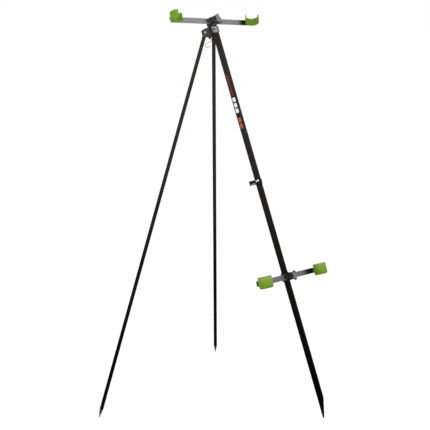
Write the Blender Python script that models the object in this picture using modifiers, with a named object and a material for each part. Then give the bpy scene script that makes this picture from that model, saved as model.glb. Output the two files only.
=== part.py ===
"""Surf rod tripod: a pointed main leg, two thin legs that fold against it, a head bar
with two rod rests and a sliding lower bar with two butt cups.

Metres, +Z up. The feet stand on z = 0. The main leg points towards -Y and the bars run along X.
The main leg has a frame of its own, with its origin at the centre of the leg's top end,
+Z up the leg, +X to the right and -Y out of the face that carries the bars.
"""

import math

import bmesh
import bpy
from mathutils import Matrix, Vector

SEAT = 0.0003
RUNNING = 0.0005

LEG_LENGTH = 1.9335
LEG_LEAN = math.radians(18.45)
FOOT_RADIUS = 0.6224
THIN_FOOT_ANGLE = math.radians(60.0)

MAIN_DEPTH = 0.028
MAIN_WIDTH = 0.016
MAIN_WALL = 0.0018
MAIN_CORNER = 0.0028
MAIN_POINT = 0.104

THIN_RADIUS = 0.009
THIN_WALL = 0.0015
THIN_TOP = 0.014
SPIKE_LENGTH = 0.046
SPIKE_SHANK = 0.040
SPIKE_TIP_RADIUS = 0.0012
PLUG_CAP = 0.003
PLUG_SHANK = 0.005

PIVOT_SIDE = 0.0378
PIVOT_BACK = 0.032
PIVOT_DROP = 0.0187
PIVOT_RADIUS = 0.003
PIVOT_HEAD_RADIUS = 0.0058
PIVOT_HEAD_HEIGHT = 0.0034
BUSH_WALL = 0.001

BRACKET_SHEET = 0.0025
BRACKET_SCREWS = (0.007, 0.037)
BRACKET_EDGE = 0.017
BRACKET_TOP_RISE = 0.018
BRACKET_TIP_RISE = 0.011
BRACKET_FALL = 0.024
BRACKET_WEB_HALF = 0.0165
CHEEK_HALF = 0.0125
CHEEK_RISE = 0.020
CHEEK_BACK = 0.028
SPINE_RISE = 0.013
HOOK_WEB_TOP = 0.030
HOOK_WEB_BOTTOM = 0.043
HOOK_WEB_BACK = 0.006
HOOK_TAB_HALF = 0.006
HOOK_TAB_DROP = 0.007
HOOK_HOLE_RADIUS = 0.0036

SLEEVE_HEIGHT = 0.029
SLEEVE_WALL = 0.0022
SLEEVE_FRONT = 0.0026
SLEEVE_BACK = 0.0095
SLEEVE_SKEW = math.radians(12.0)
SLEEVE_SCREW_Y = -0.004
SLEEVE_SCREW_DROP = 0.014
SCREW_RADIUS = 0.002
SCREW_HEAD_RADIUS = 0.0036
SCREW_HEAD_HEIGHT = 0.0016

JOINT_RADIUS = 0.018
JOINT_RISE = 0.0285
JOINT_FACE = 0.003
LUG_PLUG_DEPTH = 0.030
LUG_FLANGE = 0.007
LUG_BASE = 0.0028
LUG_BACK_CUT = 0.004
BOLT_RADIUS = 0.004
BOLT_HEAD_RADIUS = 0.008
BOLT_HEAD_HEIGHT = 0.0045
BOLT_IN_KNOB = 0.010

TURN_PLATE = 0.0025
TURN_PLATE_RADIUS = 0.0175
TURN_EAR_RADIUS = 0.0095
HEAD_SCREWS = (0.066, 0.042)
BUTT_SCREWS = (0.0265, 0.044)
BAR_SCREW_RADIUS = 0.003
BAR_SCREW_HEAD_RADIUS = 0.0075
BAR_SCREW_HEAD_HEIGHT = 0.0042
BAR_THICK = 0.003
BAR_WIDTH = 0.026
BAR_CORNER = 0.004
DISC_RADIUS = 0.018
HEAD_DISC = 0.016
BUTT_DISC = 0.012
WASHER_RADIUS = 0.015
WASHER_THICK = 0.0018
KNOB_RADIUS = 0.0235
KNOB_WAIST = 0.0155
KNOB_THICK = 0.012
KNOB_NECK = 0.003
KNOB_NECK_RADIUS = 0.0105
KNOB_LOBES = 5
KNOB_BEVEL = 0.0016

HEAD_BAR_TURN = math.radians(3.2)
HEAD_BAR_DROP = 0.004
HEAD_BAR_OFFSET = -0.011
HEAD_SPACING = 0.648
HEAD_BAR_END = 0.013
BUTT_BAR_TURN = math.radians(6.6)
BUTT_BAR_OFFSET = -0.0165
BUTT_SPACING = 0.528
BUTT_BAR_END = 0.0195

CUP_RADIUS = 0.0325
CUP_WALL = 0.0036
CUP_HEIGHT = 0.055
CUP_FLOOR = 0.004
CUP_ROUND = 0.009
CUP_PAD_HALF = 0.012
CUP_PAD_HEIGHT = 0.024
CUP_PAD_DEPTH = 0.0045
CUP_SCREW_RADIUS = 0.0025
CUP_SCREW_HEAD_RADIUS = 0.0048
CUP_SCREW_HEAD_HEIGHT = 0.0022
NUT_RADIUS = 0.0046
NUT_HEIGHT = 0.0036

REST_RADIUS = 0.0338
REST_WALL = 0.0042
REST_HEIGHT = 0.037
REST_RISE = 0.008
REST_OPENING = math.radians(140.0)
LEFT_REST_LEAN = math.radians(8.3)
RIGHT_REST_LEAN = math.radians(20.9)
LEFT_REST_TURN = math.radians(19.0)
RIGHT_REST_TURN = math.radians(-58.0)

BUTT_DROP = 1.231
CLAMP_RADIUS = 0.0215
CLAMP_FRONT = 0.0030
CLAMP_BACK = 0.0035
PAD_THICK = 0.0018
PAD_HALF = 0.005

STRAP_DROP = 0.7655
STRAP_WIDTH = 0.024
STRAP_THICK = 0.0024
STRAP_TAIL = 0.034
STRAP_TAIL_THICK = 0.0052

HOOK_WIRE_RADIUS = 0.0013
HOOK_EYE_RADIUS = 0.009
HOOK_BOWL_HALF = 0.0155

BLACK = (0.022, 0.021, 0.021, 1.0)
DARK = (0.035, 0.034, 0.034, 1.0)
SILVER = (0.48, 0.49, 0.50, 1.0)
PALE = (0.66, 0.66, 0.67, 1.0)
LIME = (0.22, 0.48, 0.03, 1.0)

TOP_Y = LEG_LENGTH * math.sin(LEG_LEAN) - MAIN_DEPTH / 2 * math.cos(LEG_LEAN) - FOOT_RADIUS
TOP_Z = LEG_LENGTH * math.cos(LEG_LEAN) + MAIN_DEPTH / 2 * math.sin(LEG_LEAN)
THIN_FOOT_Y = FOOT_RADIUS * math.cos(THIN_FOOT_ANGLE)
SPIKE_COLLAR = 0.002
THIN_SPAN = Vector((
    FOOT_RADIUS * math.sin(THIN_FOOT_ANGLE) - PIVOT_SIDE,
    THIN_FOOT_Y - TOP_Y - PIVOT_BACK * math.cos(LEG_LEAN) + PIVOT_DROP * math.sin(LEG_LEAN),
    -TOP_Z + PIVOT_BACK * math.sin(LEG_LEAN) + PIVOT_DROP * math.cos(LEG_LEAN),
)).normalized()
SPIKE_SIDE = THIN_RADIUS * math.sqrt(1 - THIN_SPAN.y ** 2) - (SPIKE_LENGTH - SPIKE_COLLAR) * THIN_SPAN.y
SHIFT_Y = (FOOT_RADIUS - THIN_FOOT_Y - SPIKE_SIDE) / 2

MAIN_FRAME = Matrix.Translation((0, TOP_Y + SHIFT_Y, TOP_Z)) @ Matrix.Rotation(-LEG_LEAN, 4, "X")

bpy.context.preferences.edit.use_global_undo = False
for old in list(bpy.data.objects):
    bpy.data.objects.remove(old, do_unlink=True)

PARTS = bpy.data.collections.new("surf_rod_tripod")
CUTTERS = bpy.data.collections.new("cutters")
bpy.context.scene.collection.children.link(PARTS)
bpy.context.scene.collection.children.link(CUTTERS)


def material(name, colour, roughness, metallic):
    made = bpy.data.materials.new(name)
    made.use_nodes = True
    shader = made.node_tree.nodes["Principled BSDF"]
    shader.inputs["Base Color"].default_value = colour
    shader.inputs["Roughness"].default_value = roughness
    shader.inputs["Metallic"].default_value = metallic
    return made


def finish(obj, colour, roughness=0.4, metallic=0.0):
    """Gives the object its own material and smooth shading with sharp corners."""
    obj.data.materials.clear()
    obj.data.materials.append(material(obj.name, colour, roughness, metallic))
    obj.data.shade_smooth()
    obj.data.set_sharp_from_angle(angle=math.radians(35))
    return obj


def empty(name, matrix, parent=None):
    made = bpy.data.objects.new(name, None)
    PARTS.objects.link(made)
    made.parent = parent
    made.matrix_local = matrix
    made.empty_display_size = 0.03
    return made


def place(obj, parent, matrix):
    obj.parent = parent
    obj.matrix_local = matrix
    return obj


def mesh_object(name, build, parent, matrix):
    """An object whose mesh the function build fills in a fresh bmesh."""
    shape = bmesh.new()
    build(shape)
    bmesh.ops.recalc_face_normals(shape, faces=shape.faces)
    mesh = bpy.data.meshes.new(name)
    shape.to_mesh(mesh)
    shape.free()
    obj = bpy.data.objects.new(name, mesh)
    PARTS.objects.link(obj)
    return place(obj, parent, matrix)


def shift(x=0.0, y=0.0, z=0.0):
    return Matrix.Translation((x, y, z))


def box(name, low, high, parent, matrix=Matrix()):
    size = Vector(high) - Vector(low)
    middle = (Vector(high) + Vector(low)) / 2

    def build(shape):
        bmesh.ops.create_cube(shape, size=1.0, matrix=Matrix.Diagonal((*size, 1.0)))

    return mesh_object(name, build, parent, matrix @ Matrix.Translation(middle))


def cylinder(name, radius, low, high, parent, matrix=Matrix(), sides=16, top_radius=None):
    """A cylinder or cone along local Z, from low to high."""
    upper = radius if top_radius is None else top_radius

    def build(shape):
        bmesh.ops.create_cone(
            shape, cap_ends=True, segments=sides, radius1=radius, radius2=upper, depth=high - low
        )

    return mesh_object(name, build, parent, matrix @ shift(z=(high + low) / 2))


def bevel(obj, width, segments=2, angle=30.0):
    modifier = obj.modifiers.new("bevel", "BEVEL")
    modifier.width = width
    modifier.segments = segments
    modifier.limit_method = "ANGLE"
    modifier.angle_limit = math.radians(angle)
    return obj


def cut(obj, cutter, operation="DIFFERENCE"):
    """Cuts obj with cutter, or joins the cutter to it with operation UNION."""
    modifier = obj.modifiers.new(cutter.name, "BOOLEAN")
    modifier.operation = operation
    modifier.object = cutter
    modifier.solver = "EXACT"
    if cutter.name in PARTS.objects:
        PARTS.objects.unlink(cutter)
        CUTTERS.objects.link(cutter)
    cutter.hide_render = True
    cutter.display_type = "WIRE"
    return obj


def arc(centre, radius, start, end, steps):
    """Points round part of a circle, from the start angle to the end angle."""
    made = []
    for i in range(steps + 1):
        angle = start + (end - start) * i / steps
        made.append((centre[0] + radius * math.cos(angle), centre[1] + radius * math.sin(angle)))
    return made


def rounded_rectangle(half_x, half_y, corner, steps=3):
    """A closed outline round the origin with round corners."""
    made = []
    for quarter, (sx, sy) in enumerate(((1, 1), (-1, 1), (-1, -1), (1, -1))):
        centre = (sx * (half_x - corner), sy * (half_y - corner))
        start = quarter * math.pi / 2
        made += arc(centre, corner, start, start + math.pi / 2, steps)
    return made


def plate(name, outlines, thickness, parent, matrix=Matrix()):
    """A flat solid in local XY, centred on z = 0, from an outline and the holes in it."""
    curve = bpy.data.curves.new(name, "CURVE")
    curve.dimensions = "2D"
    curve.fill_mode = "BOTH"
    curve.extrude = thickness / 2
    for outline in outlines:
        spline = curve.splines.new("POLY")
        spline.points.add(len(outline) - 1)
        for point, (x, y) in zip(spline.points, outline):
            point.co = (x, y, 0.0, 1.0)
        spline.use_cyclic_u = True
    return from_curve(name, curve, parent, matrix)


def from_curve(name, curve, parent, matrix):
    """Turns the curve into a closed mesh object."""
    holder = bpy.data.objects.new(name + "_curve", curve)
    PARTS.objects.link(holder)
    bpy.context.view_layer.update()
    graph = bpy.context.evaluated_depsgraph_get()
    mesh = bpy.data.meshes.new_from_object(holder.evaluated_get(graph))
    bpy.data.objects.remove(holder, do_unlink=True)
    shape = bmesh.new()
    shape.from_mesh(mesh)
    bmesh.ops.remove_doubles(shape, verts=shape.verts, dist=0.00001)
    bmesh.ops.recalc_face_normals(shape, faces=shape.faces)
    shape.to_mesh(mesh)
    shape.free()
    mesh.name = name
    obj = bpy.data.objects.new(name, mesh)
    PARTS.objects.link(obj)
    return place(obj, parent, matrix)


def circle(radius, centre=(0.0, 0.0), sides=20):
    return arc(centre, radius, 0.0, 2 * math.pi * (sides - 1) / sides, sides - 1)


def turned(name, profile, parent, matrix=Matrix(), steps=32, ring=False):
    """A body turned round local Z from (radius, height) points, down its outer side first.

    With ring the profile closes on itself, for a body with a hole along its axis.
    """
    mesh = bpy.data.meshes.new(name)
    points = [(radius, 0.0, height) for radius, height in profile]
    edges = [(i, i + 1) for i in range(len(points) - 1)]
    if ring:
        edges.append((len(points) - 1, 0))
    mesh.from_pydata(points, edges, [])
    obj = bpy.data.objects.new(name, mesh)
    PARTS.objects.link(obj)
    screw = obj.modifiers.new("turn", "SCREW")
    screw.steps = steps
    screw.render_steps = steps
    screw.use_merge_vertices = True
    screw.merge_threshold = 0.00001
    screw.use_smooth_shade = True
    return place(obj, parent, matrix)


def screw_profile(head_radius, head_height, shank_radius, length):
    """A round headed screw: head above z = 0, shank below."""
    return [
        (0.0, head_height),
        (head_radius * 0.75, head_height),
        (head_radius, head_height * 0.5),
        (head_radius, 0.0),
        (shank_radius, 0.0),
        (shank_radius, -length),
        (0.0, -length),
    ]


def hex_nut(name, across, height, bore, parent, matrix):
    outline = circle(across, sides=6)
    nut = plate(name, [outline, circle(bore, sides=14)], height, parent, matrix @ shift(z=height / 2))
    return finish(nut, PALE, 0.3, 1.0)


FACE_OUT = Matrix.Rotation(math.pi / 2, 4, "X")
"""Turns a shape made in XY with its top along +Z so that its top looks along -Y, out of the leg."""


def main_leg(frame):
    """The rectangular tube, its diagonal point and the bores for its screws."""
    outer = rounded_rectangle(MAIN_WIDTH / 2, MAIN_DEPTH / 2, MAIN_CORNER)
    inner = rounded_rectangle(
        MAIN_WIDTH / 2 - MAIN_WALL, MAIN_DEPTH / 2 - MAIN_WALL, MAIN_CORNER - MAIN_WALL / 2
    )
    tube = plate("main_leg_tube", [outer, inner], LEG_LENGTH, frame, shift(z=-LEG_LENGTH / 2))
    slope = math.atan2(MAIN_DEPTH, MAIN_POINT)
    corner = Matrix.Translation((0, MAIN_DEPTH / 2, -LEG_LENGTH)) @ Matrix.Rotation(slope, 4, "X")
    reach = MAIN_POINT * 2
    cut(tube, box("point_cutter", (-reach, -reach, -reach), (reach, 0, reach), frame, corner))
    across = Matrix.Rotation(math.pi / 2, 4, "Y")
    cut(tube, cylinder("sleeve_screw_bore", SCREW_RADIUS + SEAT, -MAIN_WIDTH, MAIN_WIDTH, frame,
                       shift(y=SLEEVE_SCREW_Y, z=-SLEEVE_SCREW_DROP) @ across))
    for name, drop in (("upper", BRACKET_SCREWS[0]), ("lower", BRACKET_SCREWS[1])):
        cut(tube, cylinder(f"bracket_bore_{name}", SCREW_RADIUS + SEAT, 0, MAIN_DEPTH, frame,
                           shift(z=-drop) @ FACE_OUT.inverted()))
    return finish(tube, BLACK, 0.35, 0.3)


def sleeve(frame):
    """A bare sleeve on the top of the main leg, skewed so that its ends lie nearly level."""
    half_x = MAIN_WIDTH / 2 + SEAT + SLEEVE_WALL
    front = MAIN_DEPTH / 2 + SEAT + SLEEVE_FRONT
    inner_x = MAIN_WIDTH / 2 + SEAT
    inner_front = MAIN_DEPTH / 2 + SEAT
    outline = [
        (half_x, SLEEVE_BACK),
        (half_x, -front),
        (-half_x, -front),
        (-half_x, SLEEVE_BACK),
        (-inner_x, SLEEVE_BACK),
        (-inner_x, -inner_front),
        (inner_x, -inner_front),
        (inner_x, SLEEVE_BACK),
    ]
    shell = plate("head_sleeve", [outline], SLEEVE_HEIGHT, frame, shift(z=-SLEEVE_HEIGHT / 2))
    skew = Matrix()
    skew[2][1] = math.tan(SLEEVE_SKEW)
    shell.data.transform(skew)
    middle = shift(y=SLEEVE_SCREW_Y, z=-SLEEVE_SCREW_DROP)
    across = middle @ Matrix.Rotation(math.pi / 2, 4, "Y")
    cut(shell, cylinder("sleeve_bore", SCREW_RADIUS + SEAT, -half_x * 2, half_x * 2, frame, across))
    bevel(shell, 0.0005, 1)
    finish(shell, PALE, 0.35, 0.9)
    left = shift(x=-half_x - SEAT) @ middle @ Matrix.Rotation(-math.pi / 2, 4, "Y")
    reach = half_x * 2 + SEAT + 0.0008
    pin = turned("sleeve_screw", screw_profile(SCREW_HEAD_RADIUS, SCREW_HEAD_HEIGHT,
                                               SCREW_RADIUS, reach), frame, left, 12)
    finish(pin, BLACK, 0.4, 0.6)


def lug(frame):
    """The black lug: a plug inside the leg, a base over its end and a round cheek behind the bar."""
    plug_x = MAIN_WIDTH / 2 - MAIN_WALL - SEAT
    plug_y = MAIN_DEPTH / 2 - MAIN_WALL - SEAT
    plug_corner = MAIN_CORNER - MAIN_WALL / 2
    back = MAIN_DEPTH / 2 - LUG_BACK_CUT
    depth = back - JOINT_FACE
    turn = shift(y=(back + JOINT_FACE) / 2, z=JOINT_RISE) @ FACE_OUT
    body = cylinder("head_lug", JOINT_RADIUS, -depth / 2, depth / 2, frame, turn, 28)
    half = MAIN_WIDTH / 2 + SEAT
    neck = box("lug_neck", (-half, JOINT_FACE, LUG_BASE), (half, back, JOINT_RISE), frame)
    cut(body, neck, "UNION")
    base = box("lug_base", (-half, -MAIN_DEPTH / 2 - SLEEVE_FRONT, LUG_BASE + 0.0001),
               (half, back - 0.0004, LUG_FLANGE), frame)
    cut(body, base, "UNION")
    plug = plate("lug_plug", [rounded_rectangle(plug_x, plug_y, plug_corner)],
                 LUG_PLUG_DEPTH + LUG_FLANGE - 0.0006, frame, shift(z=(LUG_FLANGE - 0.0006 - LUG_PLUG_DEPTH) / 2))
    cut(body, plug, "UNION")
    cut(body, cylinder("lug_bore", BOLT_RADIUS + SEAT, -depth, depth, frame, turn, 16))
    across = shift(y=SLEEVE_SCREW_Y, z=-SLEEVE_SCREW_DROP) @ Matrix.Rotation(math.pi / 2, 4, "Y")
    cut(body, cylinder("lug_cross_bore", SCREW_RADIUS + SEAT, -0.03, 0.03, frame, across))
    for name, drop in zip(("upper", "lower"), BRACKET_SCREWS):
        cut(body, cylinder(f"lug_screw_bore_{name}", SCREW_RADIUS + SEAT, 0, MAIN_DEPTH, frame,
                           shift(z=-drop) @ FACE_OUT.inverted()))
    bevel(body, 0.0008, 1, 50)
    return finish(body, BLACK, 0.4)


def star_outline(steps=7):
    """The outline of a star knob: round lobes on a circle with hollows between them."""
    made = []
    for i in range(KNOB_LOBES * steps):
        angle = 2 * math.pi * i / (KNOB_LOBES * steps)
        wave = (0.5 + 0.5 * math.cos(KNOB_LOBES * angle)) ** 0.8
        radius = KNOB_WAIST + (KNOB_RADIUS - KNOB_WAIST) * wave
        made.append((radius * math.cos(angle), radius * math.sin(angle)))
    return made


def bar_joint(prefix, axis_frame, disc_thick, spacing, end, offset, drop, screws):
    """The stack that clamps a bar, built outwards along -Y from the carrier's face at y = 0:
    the bar, its turn plate, a thick disc, a washer and the star knob.

    The bar's middle stands offset to the side of the joint's axis and drop below it. screws
    holds how far the right and the left bar screw stand from the axis.
    """
    right, left = screws
    line = shift(z=-drop)
    bar_back = -SEAT
    bar_front = bar_back - BAR_THICK
    plate_back = bar_front - SEAT
    plate_front = plate_back - TURN_PLATE
    outline = []
    ear = TURN_EAR_RADIUS
    near_turn = math.atan2(-drop, right)
    near = math.acos((TURN_PLATE_RADIUS - ear) / math.hypot(right, drop))
    far_turn = math.pi + math.atan2(drop, left)
    far = math.acos((TURN_PLATE_RADIUS - ear) / math.hypot(left, drop))
    outline += arc((right, -drop), ear, near_turn - near, near_turn + near, 6)
    outline += arc((0, 0), TURN_PLATE_RADIUS, near_turn + near, far_turn - far, 8)
    outline += arc((-left, -drop), ear, far_turn - far, far_turn + far, 6)
    outline += arc((0, 0), TURN_PLATE_RADIUS, far_turn + far, 2 * math.pi + near_turn - near, 8)
    holes = [circle(BOLT_RADIUS + SEAT)]
    for x in (right, -left):
        holes.append(circle(BAR_SCREW_RADIUS + SEAT, (x, -drop), 16))
    backing = plate(f"{prefix}_turn_plate", [outline] + holes, TURN_PLATE, axis_frame,
                    shift(y=plate_back - TURN_PLATE / 2) @ FACE_OUT)
    finish(backing, DARK, 0.35, 0.5)

    half = spacing / 2 + end
    holes = [circle(BOLT_RADIUS + SEAT, (-offset, drop))]
    for x in (right, -left):
        holes.append(circle(BAR_SCREW_RADIUS + SEAT, (x - offset, 0), 16))
    for x in (spacing / 2, -spacing / 2):
        holes.append(circle(CUP_SCREW_RADIUS + SEAT, (x, 0), 16))
    strip = plate(f"{prefix}_bar", [rounded_rectangle(half, BAR_WIDTH / 2, BAR_CORNER, 4)] + holes,
                  BAR_THICK, axis_frame, line @ shift(x=offset, y=bar_back - BAR_THICK / 2) @ FACE_OUT)
    finish(strip, SILVER, 0.3, 0.95)

    for name, x in (("right", right), ("left", -left)):
        seat = line @ shift(x=x, y=plate_front - SEAT) @ FACE_OUT
        reach = BAR_THICK + TURN_PLATE + 2 * SEAT
        screw = turned(f"{prefix}_bar_screw_{name}",
                       screw_profile(BAR_SCREW_HEAD_RADIUS, BAR_SCREW_HEAD_HEIGHT,
                                     BAR_SCREW_RADIUS, reach), axis_frame, seat, 14)
        finish(screw, BLACK, 0.35, 0.5)

    disc_back = plate_front - SEAT
    disc_low = -disc_back
    bore = BOLT_RADIUS + SEAT
    disc = turned(f"{prefix}_clamp_disc", [
        (DISC_RADIUS - 0.001, disc_low + disc_thick),
        (DISC_RADIUS, disc_low + disc_thick - 0.001),
        (DISC_RADIUS, disc_low),
        (bore, disc_low),
        (bore, disc_low + disc_thick),
    ], axis_frame, FACE_OUT, 28, True)
    finish(disc, BLACK, 0.3)
    washer_low = disc_low + disc_thick + SEAT
    ring = plate(f"{prefix}_washer", [circle(WASHER_RADIUS, sides=28), circle(bore)], WASHER_THICK,
                 axis_frame, FACE_OUT @ shift(z=washer_low + WASHER_THICK / 2))
    finish(ring, PALE, 0.25, 1.0)

    neck_low = washer_low + WASHER_THICK + SEAT
    knob_low = neck_low + KNOB_NECK
    knob = plate(f"{prefix}_star_knob", [star_outline()], KNOB_THICK, axis_frame,
                 FACE_OUT @ shift(z=knob_low + KNOB_THICK / 2))
    bevel(knob, KNOB_BEVEL, 1, 60)
    neck = cylinder(f"{prefix}_knob_neck", KNOB_NECK_RADIUS, neck_low, knob_low + KNOB_BEVEL * 2,
                    axis_frame, FACE_OUT, 24)
    cut(knob, neck, "UNION")
    hole_end = neck_low + BOLT_IN_KNOB + SEAT
    cut(knob, cylinder(f"{prefix}_knob_bore", bore, neck_low - 0.002, hole_end, axis_frame, FACE_OUT, 24))
    finish(knob, SILVER, 0.3, 0.9)
    return {"bar_front": bar_front, "bolt_end": hole_end - SEAT, "bar_back": bar_back, "line": line @ shift(x=offset)}


def cup(name, x, bar, frame, side):
    """A butt cup: turned, with a floor and a flat pad on its back, held by a screw and a nut."""
    inner = CUP_RADIUS - CUP_WALL
    half = CUP_HEIGHT / 2
    pad_face = bar["bar_front"] - SEAT
    centre_y = pad_face - CUP_PAD_DEPTH - CUP_RADIUS + 0.0025
    profile = [(CUP_RADIUS - 0.0008, half), (CUP_RADIUS, half - 0.0008)]
    profile += [(CUP_RADIUS - CUP_ROUND + CUP_ROUND * math.cos(a), -half + CUP_ROUND - CUP_ROUND * math.sin(a))
                for a in (math.pi / 2 * i / 4 for i in range(5))]
    profile.append((0.0, -half))
    inner_round = CUP_ROUND - CUP_WALL
    profile = [(0.0, -half + CUP_FLOOR)] + [
        (inner - inner_round + inner_round * math.sin(a), -half + CUP_FLOOR + inner_round - inner_round * math.cos(a))
        for a in (math.pi / 2 * i / 3 for i in range(4))
    ] + [(inner, half)] + profile
    stand = bar["line"] @ shift(x=x)
    shell = turned(name, profile, frame, stand @ shift(y=centre_y), 28)
    pad = box(f"{name}_pad", (-CUP_PAD_HALF, centre_y + inner + CUP_WALL * 0.4, -CUP_PAD_HEIGHT / 2),
              (CUP_PAD_HALF, pad_face, CUP_PAD_HEIGHT / 2), frame, stand)
    cut(shell, pad, "UNION")
    seat = stand @ shift(y=centre_y + inner - SEAT) @ FACE_OUT
    cut(shell, cylinder(f"{name}_bore", CUP_SCREW_RADIUS + SEAT, -0.03, 0.012, frame, seat, 16))
    recess = cylinder(f"{name}_spot_face", CUP_SCREW_HEAD_RADIUS + SEAT, -0.0006, 0.012, frame, seat, 20)
    cut(shell, recess)
    finish(shell, LIME, 0.45)
    fasteners(f"{side}_cup", stand, centre_y + inner - SEAT + 0.0006 - SEAT, bar, frame)
    return centre_y


def fasteners(prefix, stand, seat_y, bar, frame):
    """The screw from inside a cup or rest through the bar, and its nut behind the bar."""
    nut_face = bar["bar_back"] + SEAT
    reach = nut_face + NUT_HEIGHT - seat_y + 0.0006
    screw = turned(f"{prefix}_screw", screw_profile(CUP_SCREW_HEAD_RADIUS, CUP_SCREW_HEAD_HEIGHT,
                                                    CUP_SCREW_RADIUS, reach), frame,
                   stand @ shift(y=seat_y) @ FACE_OUT, 12)
    finish(screw, PALE, 0.3, 1.0)
    hex_nut(f"{prefix}_nut", NUT_RADIUS, NUT_HEIGHT, CUP_SCREW_RADIUS + SEAT / 2, frame,
            stand @ shift(y=nut_face) @ FACE_OUT.inverted())


def rest(name, x, lean, turn, bar, frame, side):
    """A rod rest: an open band turned inwards, on a wedge that a screw holds on the bar.

    lean is how far the rest has turned round its screw, turn how far its opening looks inwards.
    """
    inner = REST_RADIUS - REST_WALL
    pad_face = bar["bar_front"] - SEAT
    centre_y = pad_face - SEAT - REST_RADIUS
    stand = bar["line"] @ shift(x=x) @ Matrix.Rotation(lean, 4, "Y")
    hub = stand @ shift(y=centre_y, z=REST_RISE)
    half_gap = REST_OPENING / 2
    start = -math.pi / 2 + half_gap + turn
    end = 3 * math.pi / 2 - half_gap + turn
    middle = REST_RADIUS - REST_WALL / 2
    tip = REST_WALL / 2
    outline = arc((0, 0), REST_RADIUS, start, end, 28)
    outline += arc((middle * math.cos(end), middle * math.sin(end)), tip, end, end + math.pi, 4)[1:-1]
    outline += arc((0, 0), inner, end, start, 24)
    outline += arc((middle * math.cos(start), middle * math.sin(start)), tip, start + math.pi,
                   start + 2 * math.pi, 4)[1:-1]
    band = plate(name, [outline], REST_HEIGHT, frame, hub)
    wedge = box(f"{name}_wedge", (-CUP_PAD_HALF, pad_face - CUP_PAD_DEPTH * 1.5, -CUP_PAD_HALF * 0.7),
                (CUP_PAD_HALF, pad_face, CUP_PAD_HALF), frame, stand)
    bore = cylinder(f"{name}_hollow", inner + 0.0004, -REST_HEIGHT, REST_HEIGHT, frame, hub, 48)
    cut(wedge, bore)
    cut(band, wedge, "UNION")
    seat_y = centre_y + inner + 0.0005
    seat = stand @ shift(y=seat_y) @ FACE_OUT
    cut(band, cylinder(f"{name}_bore", CUP_SCREW_RADIUS + SEAT, -0.03, 0.012, frame, seat, 16))
    cut(band, cylinder(f"{name}_spot_face", CUP_SCREW_HEAD_RADIUS + SEAT, 0, 0.012, frame, seat, 20))
    finish(band, LIME, 0.45)
    fasteners(f"{side}_rest", stand, seat_y - SEAT, bar, frame)


def head(frame):
    axis = empty("head_bar_axis", shift(y=JOINT_FACE, z=JOINT_RISE) @ Matrix.Rotation(HEAD_BAR_TURN, 4, "Y"), frame)
    back = MAIN_DEPTH / 2 - LUG_BACK_CUT
    bar = bar_joint("head", axis, HEAD_DISC, HEAD_SPACING, HEAD_BAR_END, HEAD_BAR_OFFSET,
                    HEAD_BAR_DROP, HEAD_SCREWS)
    shank = bar["bolt_end"] + back - JOINT_FACE + SEAT
    bolt = turned("head_bolt", [
        (BOLT_RADIUS, shank),
        (BOLT_RADIUS, 0.0),
        (BOLT_HEAD_RADIUS, 0.0),
        (BOLT_HEAD_RADIUS, -BOLT_HEAD_HEIGHT * 0.5),
        (BOLT_HEAD_RADIUS * 0.7, -BOLT_HEAD_HEIGHT),
        (0.0, -BOLT_HEAD_HEIGHT),
    ], frame, shift(y=back + SEAT, z=JOINT_RISE) @ FACE_OUT, 24)
    close_top(bolt, shank)
    finish(bolt, PALE, 0.3, 1.0)
    half = HEAD_SPACING / 2
    rest("right_rod_rest", half, RIGHT_REST_LEAN, RIGHT_REST_TURN, bar, axis, "right")
    rest("left_rod_rest", -half, LEFT_REST_LEAN, LEFT_REST_TURN, bar, axis, "left")


def close_top(obj, height):
    """Adds the point on the axis that closes the upper end of a turned profile."""
    shape = bmesh.new()
    shape.from_mesh(obj.data)
    shape.verts.ensure_lookup_table()
    start = shape.verts[0]
    top = shape.verts.new((0.0, 0.0, height))
    shape.edges.new((top, start))
    shape.to_mesh(obj.data)
    shape.free()


def butt(frame):
    """The sliding clamp on the main leg and the lower bar with its cups."""
    carriage = empty("butt_carriage", shift(z=-BUTT_DROP), frame)
    front = MAIN_DEPTH / 2 + RUNNING + CLAMP_FRONT
    back = MAIN_DEPTH / 2 + RUNNING + CLAMP_BACK
    block = cylinder("butt_clamp", CLAMP_RADIUS, -back, front, carriage, FACE_OUT, 32)
    bevel(block, 0.0012, 1, 50)
    slot = plate("clamp_slot", [rounded_rectangle(MAIN_WIDTH / 2 + RUNNING, MAIN_DEPTH / 2 + RUNNING,
                                                  MAIN_CORNER)], CLAMP_RADIUS * 3, carriage)
    cut(block, slot)
    cut(block, cylinder("clamp_bore", BOLT_RADIUS + SEAT / 2, MAIN_DEPTH / 4, front * 2, carriage, FACE_OUT, 24))
    pocket_low = MAIN_DEPTH / 2 + SEAT
    pocket = plate("pad_pocket", [rounded_rectangle(PAD_HALF + SEAT, PAD_HALF + SEAT, 0.001)],
                   PAD_THICK * 2 + SEAT * 2, carriage, FACE_OUT @ shift(z=pocket_low))
    cut(block, pocket)
    finish(block, BLACK, 0.4, 0.5)
    pad = plate("butt_pressure_pad", [rounded_rectangle(PAD_HALF, PAD_HALF, 0.001)], PAD_THICK,
                carriage, FACE_OUT @ shift(z=pocket_low + PAD_THICK / 2))
    finish(pad, BLACK, 0.6)

    axis = empty("butt_bar_axis", shift(y=-front) @ Matrix.Rotation(BUTT_BAR_TURN, 4, "Y"), carriage)
    bar = bar_joint("butt", axis, BUTT_DISC, BUTT_SPACING, BUTT_BAR_END, BUTT_BAR_OFFSET, 0.0, BUTT_SCREWS)
    low = pocket_low + PAD_THICK + SEAT
    bolt = cylinder("butt_bolt", BOLT_RADIUS, low, front + bar["bolt_end"], carriage, FACE_OUT, 24)
    finish(bolt, PALE, 0.3, 1.0)
    for side, sign in (("right", 1), ("left", -1)):
        cup(f"{side}_butt_cup", sign * BUTT_SPACING / 2, bar, axis, side)


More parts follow.
